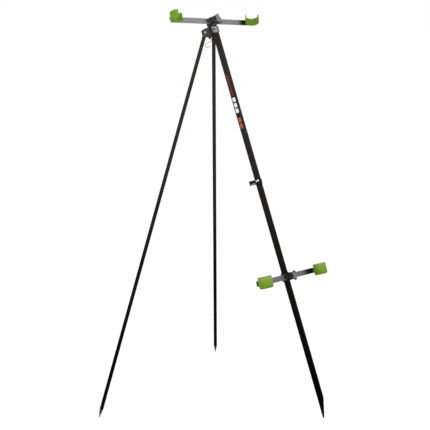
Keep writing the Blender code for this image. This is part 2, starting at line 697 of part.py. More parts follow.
def thin_leg(side, sign, frame):
    """One thin leg, in a frame on its pivot with +X along the fold axis and +Z up the leg."""
    pivot = MAIN_FRAME @ Vector((sign * PIVOT_SIDE, PIVOT_BACK, -PIVOT_DROP))
    foot = Vector((sign * FOOT_RADIUS * math.sin(THIN_FOOT_ANGLE), THIN_FOOT_Y + SHIFT_Y, 0.0))
    down = (foot - pivot).normalized()
    main_down = MAIN_FRAME.to_3x3() @ Vector((0, 0, -1))
    fold = main_down.cross(down).normalized()
    back = (-down).cross(fold)
    turn = Matrix((fold, back, -down)).transposed().to_4x4()
    stance = Matrix.Translation(pivot) @ turn
    hub = empty(f"{side}_leg_pivot", stance)
    reach = (foot - pivot).length
    tube_end = reach - SPIKE_LENGTH
    length = THIN_TOP + tube_end
    bore = PIVOT_RADIUS + BUSH_WALL + SEAT
    tube = plate(f"{side}_leg_tube", [circle(THIN_RADIUS, sides=28), circle(THIN_RADIUS - THIN_WALL, sides=28)],
                 length, hub, shift(z=THIN_TOP - length / 2))
    across = Matrix.Rotation(math.pi / 2, 4, "Y")
    cut(tube, cylinder(f"{side}_tube_bore", bore, -THIN_RADIUS * 2, THIN_RADIUS * 2, hub, across, 20))
    finish(tube, BLACK, 0.35, 0.3)

    inner = THIN_RADIUS - THIN_WALL - SEAT
    tip = -reach
    spike = turned(f"{side}_leg_spike", [
        (0.0, -tube_end + SPIKE_SHANK),
        (inner - 0.001, -tube_end + SPIKE_SHANK),
        (inner, -tube_end + SPIKE_SHANK - 0.001),
        (inner, -tube_end - SEAT),
        (THIN_RADIUS, -tube_end - SEAT),
        (THIN_RADIUS, -tube_end - SEAT - SPIKE_COLLAR),
        (SPIKE_TIP_RADIUS, tip + 0.0006),
        (0.0, tip),
    ], hub, Matrix(), 24)
    finish(spike, BLACK, 0.45, 0.2)
    plug = turned(f"{side}_leg_plug", [
        (0.0, THIN_TOP + PLUG_CAP),
        (THIN_RADIUS - 0.002, THIN_TOP + PLUG_CAP),
        (THIN_RADIUS, THIN_TOP + PLUG_CAP - 0.002),
        (THIN_RADIUS, THIN_TOP + SEAT),
        (inner, THIN_TOP + SEAT),
        (inner, THIN_TOP - PLUG_SHANK),
        (0.0, THIN_TOP - PLUG_SHANK),
    ], hub, Matrix(), 24)
    finish(plug, DARK, 0.5)

    gap = THIN_RADIUS + RUNNING
    bush_half = THIN_RADIUS + RUNNING - SEAT
    bush = plate(f"{side}_leg_bush", [circle(PIVOT_RADIUS + BUSH_WALL, sides=20),
                                      circle(PIVOT_RADIUS + SEAT / 3, sides=20)], bush_half * 2, hub, across)
    finish(bush, SILVER, 0.4, 0.9)

    outward = Matrix.Rotation(sign * math.pi / 2, 4, "Y")
    head_low = gap + BRACKET_SHEET + SEAT
    shank = head_low * 2 + NUT_HEIGHT + 0.0008
    fixed = MAIN_FRAME.inverted() @ stance @ outward
    bolt = turned(f"{side}_pivot_bolt", screw_profile(PIVOT_HEAD_RADIUS, PIVOT_HEAD_HEIGHT,
                                                      PIVOT_RADIUS, shank), frame, fixed @ shift(z=head_low), 20)
    finish(bolt, (0.8, 0.8, 0.8, 1.0), 0.25, 0.9)
    hex_nut(f"{side}_pivot_nut", PIVOT_RADIUS * 1.9, NUT_HEIGHT, PIVOT_RADIUS + SEAT / 3, frame,
            fixed @ shift(z=-head_low) @ Matrix.Rotation(math.pi, 4, "X"))
    return main_fold(pivot, down, fold)


def main_fold(pivot, down, fold):
    """The pivot, the leg's direction and the fold axis, in the main leg's frame."""
    back = MAIN_FRAME.inverted()
    turn = back.to_3x3()
    return back @ pivot, turn @ down, turn @ fold


def bracket(frame, right):
    """The folded bracket: a web on the main leg, a channel for each thin leg and the hook's tab."""
    pivot, down, fold = right
    normal = Vector((fold.x, fold.y)).normalized()
    along = Vector((-normal.y, normal.x))
    spread = math.acos(-down.z)
    stop = THIN_RADIUS * math.cos(spread) + (THIN_TOP + PLUG_CAP) * math.sin(spread)
    gap = THIN_RADIUS + RUNNING
    sheet = BRACKET_SHEET
    web_back = MAIN_DEPTH / 2 + SEAT
    top = -PIVOT_DROP + BRACKET_TOP_RISE
    tip_top = -PIVOT_DROP + BRACKET_TIP_RISE
    low = -PIVOT_DROP - BRACKET_FALL
    web = box("head_bracket", (-BRACKET_WEB_HALF, web_back, low), (BRACKET_WEB_HALF, web_back + sheet, top), frame)
    hook_y = PIVOT_BACK + HOOK_WEB_BACK
    spine = box("bracket_spine", (-CHEEK_HALF, web_back + 0.0002, top - 0.004),
                (CHEEK_HALF, web_back + sheet - 0.0002, SPINE_RISE), frame)
    cut(web, spine, "UNION")
    for sign, side in ((1, "right"), (-1, "left")):
        middle = sign * (CHEEK_HALF - sheet / 2)
        cheek = box(f"{side}_cheek", (middle - sheet / 2, web_back + 0.0001, low + 0.0015),
                    (middle + sheet / 2, CHEEK_BACK, CHEEK_RISE), frame)
        cut(web, cheek, "UNION")
    for sign, side in ((1, "right"), (-1, "left")):
        turn = Matrix(((along.x * sign, 0, normal.x * sign, pivot.x * sign),
                       (along.y, 0, normal.y, pivot.y),
                       (0, 1, 0, 0),
                       (0, 0, 0, 1)))
        meet = (web_back + sheet / 2 - pivot.y + (gap + sheet) * normal.y) / along.y
        trim = 0.0002
        for place_name, offset, start in (("inner", -(gap + sheet / 2), meet), ("outer", gap + sheet / 2, -stop - sheet)):
            outline = [
                (start, low + trim),
                (BRACKET_EDGE - 0.004, low + 0.004),
                (BRACKET_EDGE, low + 0.010),
                (BRACKET_EDGE, tip_top),
                (-0.003, top - trim),
                (start, top - trim),
            ]
            trim += 0.0002
            flange = plate(f"{side}_{place_name}_flange", [outline], sheet, frame, turn @ shift(z=offset))
            cut(web, flange, "UNION")
        back = gap + sheet * 0.9
        stop_web = box(f"{side}_stop_web", (-stop - SEAT - sheet, low + 0.0008, -back), (-stop - SEAT, top - 0.0008, back), frame, turn)
        cut(web, stop_web, "UNION")
        bore = cylinder(f"{side}_flange_bore", PIVOT_RADIUS + SEAT, -0.03, 0.03, frame,
                        turn @ shift(y=-PIVOT_DROP), 20)
        cut(web, bore)
    offset = gap + sheet / 2
    slide = (hook_y - pivot.y + offset * normal.y) / along.y
    span = pivot.x - offset * normal.x + slide * along.x
    outline = [
        (span, -HOOK_WEB_TOP),
        (-span, -HOOK_WEB_TOP),
        (-span, low + 0.004),
        (-HOOK_TAB_HALF - 0.004, -HOOK_WEB_BOTTOM),
        (-HOOK_TAB_HALF, -HOOK_WEB_BOTTOM - HOOK_TAB_DROP),
        (HOOK_TAB_HALF, -HOOK_WEB_BOTTOM - HOOK_TAB_DROP),
        (HOOK_TAB_HALF + 0.004, -HOOK_WEB_BOTTOM),
        (span, low + 0.004),
    ]
    hole = circle(HOOK_HOLE_RADIUS, (0, -HOOK_WEB_BOTTOM), 20)
    tab = plate("hook_web", [outline, hole], sheet, frame, shift(y=hook_y) @ FACE_OUT)
    cut(web, tab, "UNION")
    for name, drop in zip(("upper", "lower"), BRACKET_SCREWS):
        cut(web, cylinder(f"web_bore_{name}", SCREW_RADIUS + SEAT, -0.004, 0.03, frame,
                          shift(y=web_back, z=-drop) @ FACE_OUT.inverted(), 20))
        seat = shift(y=web_back + sheet + SEAT, z=-drop) @ FACE_OUT.inverted()
        screw = turned(f"bracket_screw_{name}", screw_profile(SCREW_HEAD_RADIUS, SCREW_HEAD_HEIGHT,
                                                              SCREW_RADIUS, sheet + MAIN_WALL + 0.004),
                       frame, seat, 12)
        finish(screw, BLACK, 0.4, 0.5)
    finish(web, DARK, 0.4, 0.4)
    return hook_y


def hook(frame, hook_y):
    """A wire hook whose eye is pinched round the bracket's tab, its bowl open towards the main leg."""
    rest_z = -HOOK_WEB_BOTTOM - HOOK_HOLE_RADIUS + HOOK_WIRE_RADIUS + SEAT * 6
    hang = MAIN_FRAME @ Vector((0, hook_y, rest_z))
    eye = HOOK_EYE_RADIUS
    points = arc((0, -eye), eye, math.radians(40), math.radians(232), 11)
    size = HOOK_BOWL_HALF
    bowl = [(0.45, -1.40), (1.05, -1.66), (1.52, -1.86), (1.78, -2.14), (1.72, -2.48),
            (1.42, -2.78), (0.98, -2.95), (0.50, -2.90), (0.08, -2.62), (-0.16, -2.25)]
    points += [(y * size, z * size) for y, z in bowl]
    curve = bpy.data.curves.new("s_hook", "CURVE")
    curve.dimensions = "3D"
    curve.bevel_depth = HOOK_WIRE_RADIUS
    curve.bevel_resolution = 2
    curve.use_fill_caps = True
    spline = curve.splines.new("POLY")
    spline.points.add(len(points) - 1)
    for point, (y, z) in zip(spline.points, points):
        point.co = (0.0, y, z, 1.0)
    wire = from_curve("s_hook", curve, None, Matrix.Translation(hang))
    finish(wire, PALE, 0.2, 1.0)


def strap(frame):
    """The hook and loop strap: a band round the main leg with its doubled tail behind."""
    outer = rounded_rectangle(MAIN_WIDTH / 2 + SEAT + STRAP_THICK, MAIN_DEPTH / 2 + SEAT + STRAP_THICK,
                              MAIN_CORNER + STRAP_THICK, 4)
    inner = rounded_rectangle(MAIN_WIDTH / 2 + SEAT, MAIN_DEPTH / 2 + SEAT, MAIN_CORNER, 4)
    band = plate("leg_strap", [outer, inner], STRAP_WIDTH, frame, shift(z=-STRAP_DROP))
    tail_low = MAIN_DEPTH / 2 + SEAT + STRAP_THICK / 2
    tail = box("strap_tail", (-STRAP_TAIL_THICK / 2, tail_low, -STRAP_DROP - STRAP_WIDTH / 2 + 0.0004),
               (STRAP_TAIL_THICK / 2, tail_low + STRAP_TAIL, -STRAP_DROP + STRAP_WIDTH / 2 - 0.0004), frame)
    cut(band, tail, "UNION")
    finish(band, BLACK, 0.9)


def main():
    frame = empty("main_leg_frame", MAIN_FRAME)
    main_leg(frame)
    sleeve(frame)
    lug(frame)
    right = thin_leg("right", 1, frame)
    thin_leg("left", -1, frame)
    hook_y = bracket(frame, right)
    hook(frame, hook_y)
    head(frame)
    butt(frame)
    strap(frame)


main()
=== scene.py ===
"""The look of the surf rod tripod: materials, strap, recesses, label bars, floor, light and camera.

Metres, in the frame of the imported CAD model: +Z up, the main leg points towards -Y.
"""

import math

import bmesh
import bpy
from mathutils import Matrix, Vector


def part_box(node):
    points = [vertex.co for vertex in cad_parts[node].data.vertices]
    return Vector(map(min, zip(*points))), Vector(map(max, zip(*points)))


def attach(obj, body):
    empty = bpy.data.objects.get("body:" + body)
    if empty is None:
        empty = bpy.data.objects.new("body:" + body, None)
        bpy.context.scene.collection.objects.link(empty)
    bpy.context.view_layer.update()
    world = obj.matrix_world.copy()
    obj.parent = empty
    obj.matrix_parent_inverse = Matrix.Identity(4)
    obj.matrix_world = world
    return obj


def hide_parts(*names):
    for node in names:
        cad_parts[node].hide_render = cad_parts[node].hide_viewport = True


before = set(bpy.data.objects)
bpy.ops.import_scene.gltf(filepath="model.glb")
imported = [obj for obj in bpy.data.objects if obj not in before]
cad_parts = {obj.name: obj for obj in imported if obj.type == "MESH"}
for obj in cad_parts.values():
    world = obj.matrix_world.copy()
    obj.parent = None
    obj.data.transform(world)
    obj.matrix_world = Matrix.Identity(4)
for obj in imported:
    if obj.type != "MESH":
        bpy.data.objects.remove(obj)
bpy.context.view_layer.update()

# The main leg. In LEG_FRAME the origin is its top end, +Z runs up along it and -Y is its front.
LEG_LEAN = math.radians(18.45)
LEG_TOP = Vector((0.0, 0.130976, 1.838549))
LEG_DEPTH = 0.028
LEG_WIDTH = 0.016
LEG_FRAME = Matrix.Translation(LEG_TOP) @ Matrix.Rotation(-LEG_LEAN, 4, "X")
OUT = LEG_FRAME.to_3x3() @ Vector((0, -1, 0))

# The strap's turn: its place below the leg's top, and the middle line of its tape round the leg.
STRAP_DROP = 0.7600
STRAP_WIDTH = 0.0255
TAPE_THICK = 0.0017
TAPE_PLAY = 0.0004
STRAP_SIDE = LEG_WIDTH / 2 + TAPE_PLAY + TAPE_THICK / 2
STRAP_REAR = LEG_DEPTH / 2 + TAPE_PLAY + TAPE_THICK / 2
STRAP_CORNER = 0.0034
STRAP_HALF_GAP = 0.0016

# The strap's tail: two layers, each TAIL_HALF from the leg's middle plane and bulged outwards.
TAIL_REACH = 0.034
TAIL_HALF = 0.0011
TAIL_BULGE_LEFT = 0.0007
TAIL_BULGE_RIGHT = 0.0009
TAIL_NARROWING = 0.0035
TAIL_LIFT = 0.001

# A painted highlight on the tail's left layer, a pale strip of tape: the part of the tail it
# covers, and its tape.
HIGHLIGHT_START = 0.04
HIGHLIGHT_SPAN = 0.72
HIGHLIGHT_THICK = 0.0006
HIGHLIGHT_WIDTH = 0.0052
HIGHLIGHT_DROP = 0.0042
HIGHLIGHT_OUTSET = TAPE_THICK * 0.75

# A swept tape's section has BAND_SIDES corners. Powers below 1 square it off.
BAND_SIDES = 16
BAND_SQUARE_ACROSS = 0.35
BAND_SQUARE_UP = 0.2

# Label bars: their height above the surface, their thickness, their corners as a share of the side.
PATCH_LIFT = 0.00002
PATCH_THICK = 0.0002
PATCH_ROUNDING = 0.22

# Hexagonal recesses in the four screws of the bars.
SOCKET_SIDES = 6
SOCKET_FOOT = 0.0034
SOCKET_TOP = 0.0031
SOCKET_HEIGHT = 0.0004
SOCKET_RIM = 0.0008
SOCKET_SINK = 0.00035

SHARP_ANGLE = math.radians(40)

# Grained surfaces: noise detail, the height of the grain, and the pointiness of a rubbed corner.
PATCH_DETAIL = 4.0
GRAIN_DETAIL = 3.0
GRAIN_HEIGHT = 0.0002
RUBBED_FROM = 0.53
RUBBED_TO = 0.62
WEAVE_HEIGHT = 0.0004

# Painted light over these lengths, measured in the picture: painted shade darkens the tubes towards
# the bottom, and the bars' ends take painted shade and painted reflections of the green rests.
TUBE_SHADE_TOP = 1.95
TUBE_SHADE_END = 0.10
HEAD_SHADE_END = (0.224, 0.276)
HEAD_REFLECTION_END = (-0.225, -0.285)
BUTT_SHADE_END = (0.130, 0.184)

# The floor and the world are white to the camera and pale to the light that falls on the part.
FLOOR_REACH = 40.0
FLOOR_DROP = 0.0005
FLOOR_GLOW = 0.96
FLOOR_SEEN = (0.08, 0.08, 0.08)
FLOOR_LIT = (0.80, 0.80, 0.80)
WORLD_SEEN = 1.0
WORLD_LIT = 0.68

# The lamps: name, place, aim, size and watts.
LAMPS = (
    ("key", (-1.2, -4.6, 4.2), (0, 0, 1.0), 4.2, 125),
    ("fill", (-4.8, 0.6, 2.4), (0, 0, 1.0), 3.6, 60),
    ("back", (2.6, 3.4, 3.6), (0, 0, 1.2), 3.6, 80),
)

# The camera, fitted to the legs' edges. FRAME_SHIFT centres the part on the origin along Y.
IMAGE_SIDE = 430
FOCAL_PIXELS = 1044.18
SENSOR = 36.0
CAMERA_DISTANCE = 5.0
CAMERA_HEIGHT = 2.0161
CAMERA_PITCH = math.radians(12.278)
CAMERA_TURN = math.radians(31.384)
CAMERA_ROLL = math.radians(-0.446)
CAMERA_SIDE = 0.0187
CAMERA_CLIP = 200.0
FRAME_SHIFT = 0.154748


def fill(tree, node, inputs):
    """Gives inputs, by name or number, a link, a colour of three numbers or a plain value."""
    for key, value in inputs.items():
        target = node.inputs[key]
        if isinstance(value, bpy.types.NodeSocket):
            tree.links.new(value, target)
        elif target.type == "RGBA":
            target.default_value = (*value, 1.0)
        else:
            target.default_value = value


def add(tree, kind, inputs, **settings):
    """A new node, its attributes set by keyword and its inputs filled."""
    node = tree.nodes.new(kind)
    for name, value in settings.items():
        setattr(node, name, value)
    fill(tree, node, inputs)
    return node


def coordinates(tree, kind):
    return tree.nodes.new("ShaderNodeTexCoord").outputs[kind]


def combined(tree, operation, first, second):
    """Two numbers joined by a math operation."""
    inputs = {0: first, 1: second}
    return add(tree, "ShaderNodeMath", inputs, operation=operation).outputs["Value"]


def ranged(tree, value, start=0.0, end=1.0, low=0.0, high=1.0, **settings):
    """A number carried from the range start to end over to the range low to high."""
    inputs = {"Value": value, "From Min": start, "From Max": end, "To Min": low, "To Max": high}
    return add(tree, "ShaderNodeMapRange", inputs, **settings).outputs["Result"]


def mixed(tree, share, first, second, **settings):
    """The first colour where share is 0, and the second where it is 1."""
    inputs = {"Factor": share, "A": first, "B": second}
    return add(tree, "ShaderNodeMix", inputs, data_type="RGBA", **settings).outputs["Result"]


def noise(tree, place, scale, detail):
    inputs = {"Vector": place, "Scale": scale, "Detail": detail}
    return add(tree, "ShaderNodeTexNoise", inputs).outputs["Fac"]


def raised(tree, height, strength, distance):
    """A normal bent by a height."""
    inputs = {"Height": height, "Strength": strength, "Distance": distance}
    return add(tree, "ShaderNodeBump", inputs).outputs["Normal"]


def seen_by(tree, first, second):
    """1 to rays of either kind, and 0 to all others."""
    rays = tree.nodes.new("ShaderNodeLightPath").outputs
    return combined(tree, "MAXIMUM", rays[first], rays[second])


def new_material(name):
    made = bpy.data.materials.new(name)
    made.use_nodes = True
    return made, made.node_tree, made.node_tree.nodes["Principled BSDF"]


def grained(name, colour, second, scale, roughness, rough_spread, bump, fine=900.0,
            specular=0.5, metallic=0.0, stretch=(1.0, 1.0, 1.0), worn=None):
    """A surface whose colour and roughness drift in soft patches, with a fine grain in its bump.

    scale sizes the patches and fine the grain. worn is the colour that shows where corners
    have rubbed.
    """
    made, tree, shader = new_material(name)
    inputs = {"Vector": coordinates(tree, "Object"), "Scale": stretch}
    place = add(tree, "ShaderNodeMapping", inputs).outputs["Vector"]
    patches = noise(tree, place, scale, PATCH_DETAIL)
    surface = mixed(tree, patches, colour, second)
    if worn is not None:
        pointed = tree.nodes.new("ShaderNodeNewGeometry").outputs["Pointiness"]
        corners = ranged(tree, pointed, RUBBED_FROM, RUBBED_TO)
        surface = mixed(tree, combined(tree, "MULTIPLY", corners, patches), surface, worn)
    low, high = roughness - rough_spread, roughness + rough_spread
    fill(tree, shader, {
        "Base Color": surface,
        "Roughness": ranged(tree, patches, low=low, high=high),
        "Normal": raised(tree, noise(tree, place, fine, GRAIN_DETAIL), bump, GRAIN_HEIGHT),
        "Metallic": metallic,
        "Specular IOR Level": specular,
    })
    return made


def woven(name, colour, second, pitch):
    """Woven tape: two crossing waves of thread with a soft sheen."""
    made, tree, shader = new_material(name)
    threads = []
    for turn in (0.0, math.pi / 2):
        inputs = {"Vector": coordinates(tree, "Object"), "Rotation": (LEG_LEAN, turn, 0.0)}
        place = add(tree, "ShaderNodeMapping", inputs).outputs["Vector"]
        inputs = {"Vector": place, "Scale": 1.0 / pitch, "Distortion": 0.6, "Detail": 1.0}
        wave = add(tree, "ShaderNodeTexWave", inputs, bands_direction="Z")
        threads.append(wave.outputs["Fac"])
    cross = combined(tree, "MULTIPLY", *threads)
    fill(tree, shader, {
        "Base Color": mixed(tree, cross, colour, second),
        "Normal": raised(tree, cross, 0.5, WEAVE_HEIGHT),
        "Roughness": 0.85,
        "Sheen Weight": 0.08,
        "Specular IOR Level": 0.1,
    })
    return made


def axis_mask(made, source, axis, start, end):
    """0 at start and 1 at end along one axis of a texture coordinate, soft at both ends."""
    tree = made.node_tree
    parts = add(tree, "ShaderNodeSeparateXYZ", {"Vector": coordinates(tree, source)})
    return ranged(tree, parts.outputs[axis], start, end, interpolation_type="SMOOTHSTEP")


def front_mask(made, low, high):
    """By how far a face looks out of the leg's front: 0 at the cosine low and 1 at high."""
    tree = made.node_tree
    inputs = {0: coordinates(tree, "Normal"), 1: OUT}
    facing = add(tree, "ShaderNodeVectorMath", inputs, operation="DOT_PRODUCT")
    return ranged(tree, facing.outputs["Value"], low, high)


def paint_light_and_shade(made, mask, colour, blend="MULTIPLY"):
    """Paints light and shade into a material's colour: takes it towards a second colour where the
    mask is 1.
    """
    tree = made.node_tree
    target = tree.nodes["Principled BSDF"].inputs["Base Color"]
    before = target.links[0].from_socket
    tree.links.new(mixed(tree, mask, before, colour, blend_type=blend), target)


def paint_light_on_bar_end(made, span, colour):
    """Paints light on a bar's front face towards one end, over a span of x: painted shade and
    painted reflection from the rest beside it.
    """
    along = axis_mask(made, "Object", "X", *span)
    paint_light_and_shade(made, combined(made.node_tree, "MULTIPLY", along, front_mask(made, 0.2, 0.8)), colour)


TUBE = dict(scale=14.0, roughness=0.42, rough_spread=0.06, bump=0.12, specular=0.02,
            stretch=(1.0, 1.0, 0.25), worn=(0.05, 0.046, 0.043))
TUBE_BLACK = grained("tube_black", (0.0185, 0.0155, 0.0145), (0.025, 0.0215, 0.0205), **TUBE)
# Painted shade: a darker copy of the black tube, for the right leg.
TUBE_SHADED = grained("tube_black_shaded", (0.0110, 0.0098, 0.0094), (0.0150, 0.0136, 0.0130), **TUBE)
# Painted shade: the tubes grow darker towards the bottom.
for tube in (TUBE_BLACK, TUBE_SHADED):
    paint_light_and_shade(tube, axis_mask(tube, "Object", "Z", TUBE_SHADE_TOP, TUBE_SHADE_END), (0.02, 0.02, 0.02))

STEEL_BLACK = grained("coated_steel_black", (0.016, 0.015, 0.0145), (0.028, 0.026, 0.025),
                      scale=60.0, roughness=0.44, rough_spread=0.06, bump=0.35, fine=1400.0,
                      specular=0.14, worn=(0.09, 0.09, 0.085))
# Painted shade: a darker copy of the coated black steel, for the parts round the butt bar.
STEEL_SHADED = grained("coated_steel_shaded", (0.002, 0.002, 0.0022), (0.005, 0.005, 0.0053),
                     scale=60.0, roughness=0.40, rough_spread=0.06, bump=0.35, fine=1400.0,
                     specular=0.03, worn=(0.04, 0.04, 0.04))
PLASTIC_BLACK = grained("moulded_black", (0.011, 0.0105, 0.010), (0.019, 0.018, 0.0175),
                        scale=90.0, roughness=0.38, rough_spread=0.05, bump=0.3, fine=1600.0,
                        specular=0.14, worn=(0.06, 0.06, 0.06))
SCREW_DARK = grained("screw_dark", (0.004, 0.004, 0.004), (0.008, 0.008, 0.008),
                     scale=160.0, roughness=0.40, rough_spread=0.05, bump=0.2, fine=1800.0,
                     specular=0.05)

BAR = dict(scale=35.0, roughness=0.46, rough_spread=0.07, bump=0.25, fine=1200.0, metallic=0.80,
           stretch=(0.15, 1.0, 1.0))
HEAD_SILVER = grained("head_bar_silver", (0.195, 0.197, 0.200), (0.258, 0.260, 0.263),
                      worn=(0.50, 0.50, 0.51), **BAR)
# Painted shade with a dark green painted reflection at the end by the right rest, and a green
# painted reflection at the end by the left rest.
paint_light_on_bar_end(HEAD_SILVER, HEAD_SHADE_END, (0.05, 0.10, 0.035))
paint_light_on_bar_end(HEAD_SILVER, HEAD_REFLECTION_END, (0.85, 1.0, 0.50))
# Painted shade: the butt bar's silver is a darker copy of the head bar's.
BUTT_SILVER_SHADED = grained("butt_bar_silver_shaded", (0.078, 0.080, 0.086), (0.107, 0.110, 0.118),
                      worn=(0.36, 0.36, 0.37), **BAR)
# Painted shade with a dark green painted reflection at the butt bar's end by the right cup.
paint_light_on_bar_end(BUTT_SILVER_SHADED, BUTT_SHADE_END, (0.06, 0.12, 0.10))

KNOB = dict(scale=70.0, roughness=0.40, rough_spread=0.08, bump=0.3, fine=1500.0, metallic=0.7)
HEAD_KNOB = grained("head_knob_silver", (0.19, 0.188, 0.186), (0.27, 0.267, 0.265),
                    worn=(0.45, 0.45, 0.45), **KNOB)
# Painted shade: the butt knob is a darker copy of the head knob.
BUTT_KNOB_SHADED = grained("butt_knob_silver_shaded", (0.12, 0.122, 0.128), (0.18, 0.183, 0.190),
                    worn=(0.42, 0.42, 0.43), **KNOB)
# Painted shade: the knobs' faces that turn away from the front are darkened.
for knob in (HEAD_KNOB, BUTT_KNOB_SHADED):
    paint_light_and_shade(knob, front_mask(knob, 0.80, 0.35), (0.10, 0.10, 0.10))

SLEEVE_BRIGHT = grained("sleeve_bright", (0.28, 0.278, 0.276), (0.36, 0.358, 0.356),
                        scale=60.0, roughness=0.38, rough_spread=0.08, bump=0.35, fine=1100.0,
                        metallic=0.6, stretch=(1.0, 1.0, 4.0), worn=(0.60, 0.60, 0.60))
# Painted shade: the sleeve's front face is darkened.
paint_light_and_shade(SLEEVE_BRIGHT, front_mask(SLEEVE_BRIGHT, 0.2, 0.7), (0.52, 0.52, 0.52))

ZINC = grained("zinc_plate", (0.46, 0.46, 0.45), (0.60, 0.60, 0.58),
               scale=200.0, roughness=0.30, rough_spread=0.08, bump=0.2, fine=2200.0, metallic=1.0)
WIRE = grained("hook_wire", (0.035, 0.035, 0.033), (0.070, 0.070, 0.067),
               scale=260.0, roughness=0.34, rough_spread=0.08, bump=0.2, fine=2600.0, metallic=0.8)
SOCKET_GREY = grained("socket_grey", (0.12, 0.12, 0.12), (0.18, 0.18, 0.18),
                      scale=300.0, roughness=0.35, rough_spread=0.08, bump=0.2, fine=2400.0,
                      metallic=0.8)

LIME = grained("lime_moulded", (0.093, 0.220, 0.0008), (0.124, 0.272, 0.0020),
               scale=45.0, roughness=0.38, rough_spread=0.07, bump=0.3, fine=1500.0,
               specular=0.05, worn=(0.22, 0.36, 0.05))
CUP_LIME_PAINTED_LIGHT = grained("cup_lime_moulded_painted_light", (0.094, 0.222, 0.0008), (0.122, 0.262, 0.0016),
                   scale=45.0, roughness=0.40, rough_spread=0.07, bump=0.3, fine=1500.0,
                   specular=0.05, worn=(0.24, 0.36, 0.07))
# Painted light: the cups grow lighter and yellower towards the top.
paint_light_and_shade(CUP_LIME_PAINTED_LIGHT, axis_mask(CUP_LIME_PAINTED_LIGHT, "Generated", "Z", 0.25, 1.0), (0.245, 0.335, 0.070), "MIX")

TAPE = woven("strap_weave", (0.003, 0.003, 0.003), (0.010, 0.010, 0.010), 0.0016)
# Painted highlight: pale tape for the strip along the strap's tail.
TAPE_PAINTED_HIGHLIGHT = woven("strap_painted_highlight", (0.26, 0.26, 0.26), (0.40, 0.40, 0.40), 0.0012)

MARK = dict(scale=160.0, roughness=0.5, rough_spread=0.05, bump=0.2, specular=0.1)
MARK_WHITE = grained("mark_white", (0.80, 0.79, 0.78), (0.88, 0.87, 0.86), **MARK)
MARK_RED = grained("mark_red", (0.22, 0.042, 0.022), (0.28, 0.058, 0.032), **MARK)
MARK_ORANGE = grained("mark_orange", (0.42, 0.082, 0.036), (0.52, 0.105, 0.050), **MARK)

NODE_LOOKS = {
    TUBE_BLACK: ["main_leg_tube", "left_leg_tube"],
    TUBE_SHADED: ["right_leg_tube"],
    STEEL_BLACK: ["head_bracket", "head_turn_plate", "bracket_screw_upper",
                  "bracket_screw_lower", "head_bar_screw_left", "head_bar_screw_right"],
    STEEL_SHADED: ["butt_turn_plate", "butt_clamp", "butt_bar_screw_left", "butt_bar_screw_right",
                 "butt_clamp_disc", "butt_pressure_pad"],
    PLASTIC_BLACK: ["head_lug", "head_clamp_disc", "left_leg_spike", "right_leg_spike",
                    "left_leg_plug", "right_leg_plug"],
    SCREW_DARK: ["sleeve_screw"],
    HEAD_SILVER: ["head_bar", "left_leg_bush", "right_leg_bush"],
    BUTT_SILVER_SHADED: ["butt_bar"],
    HEAD_KNOB: ["head_star_knob"],
    BUTT_KNOB_SHADED: ["butt_star_knob"],
    SLEEVE_BRIGHT: ["head_sleeve"],
    ZINC: ["head_bolt", "butt_bolt", "head_washer", "butt_washer", "left_pivot_bolt",
           "right_pivot_bolt", "left_pivot_nut", "right_pivot_nut", "left_rest_nut",
           "right_rest_nut", "left_cup_nut", "right_cup_nut"],
    WIRE: ["s_hook"],
    LIME: ["left_rod_rest", "right_rod_rest", "left_rest_screw", "right_rest_screw"],
    CUP_LIME_PAINTED_LIGHT: ["left_butt_cup", "right_butt_cup", "left_cup_screw", "right_cup_screw"],
}

# Light patches on the strap: centre (y, z) and size across and along the leg.
STRAP_MARKS = (
    ((0.0052, 0.0047), (0.0052, 0.0092)),
    ((-0.0060, 0.0062), (0.0084, 0.0094)),
)

# Rows of plain bars down the leg: label, count, z of the first, pitch, size and material.
LEG_MARKS = (
    ("small", 7, -0.2436, 0.0146, (0.0085, 0.0100), MARK_RED),
    ("large", 3, -0.3570, 0.0269, (0.0160, 0.0210), MARK_WHITE),
    ("accent", 2, -0.4560, 0.0294, (0.0150, 0.0240), MARK_ORANGE),
)


def piece(name, build, material, body, place):
    """A mesh filled by build, set at the matrix place, riding on a CAD body."""
    shape = bmesh.new()
    build(shape)
    bmesh.ops.recalc_face_normals(shape, faces=shape.faces)
    mesh = bpy.data.meshes.new(name)
    shape.to_mesh(mesh)
    shape.free()
    mesh.shade_smooth()
    mesh.set_sharp_from_angle(angle=SHARP_ANGLE)
    mesh.materials.append(material)
    obj = bpy.data.objects.new(name, mesh)
    bpy.context.scene.collection.objects.link(obj)
    obj.matrix_world = place
    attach(obj, body)
    return obj


def corner(x, y, radius, quarter, steps):
    """Points on a quarter circle round (x, y), from quarter times 90 degrees on."""
    angles = [(quarter + k / steps) * math.pi / 2 for k in range(steps + 1)]
    return [(x + radius * math.cos(angle), y + radius * math.sin(angle)) for angle in angles]


def squared(value, power):
    return math.copysign(abs(value) ** power, value)


def band(route, thick, width):
    """A tape swept along a route in local XY: its width runs along Z."""
    section = []
    for k in range(BAND_SIDES):
        angle = 2 * math.pi * (k + 0.5) / BAND_SIDES
        section.append((squared(math.cos(angle), BAND_SQUARE_ACROSS) * thick / 2,
                        squared(math.sin(angle), BAND_SQUARE_UP) * width / 2))

    def build(shape):
        rings = []
        for i, (x, y) in enumerate(route):
            before = Vector(route[max(i - 1, 0)])
            after = Vector(route[min(i + 1, len(route) - 1)])
            run = (after - before).normalized()
            rings.append([shape.verts.new((x - run.y * across, y + run.x * across, up))
                          for across, up in section])
        for first, second in zip(rings, rings[1:]):
            for k in range(BAND_SIDES):
                j = (k + 1) % BAND_SIDES
                shape.faces.new((first[k], first[j], second[j], second[k]))
        shape.faces.new(rings[0])
        shape.faces.new(reversed(rings[-1]))

    return build


def tail_layer(side, bulge, shares, outset=0.0):
    """The middle line of a layer of the tail, left of the leg's middle plane where side is -1."""
    return [(side * (TAIL_HALF + bulge * math.sin(share * math.pi) + outset),
             STRAP_REAR + TAIL_REACH * share) for share in shares]


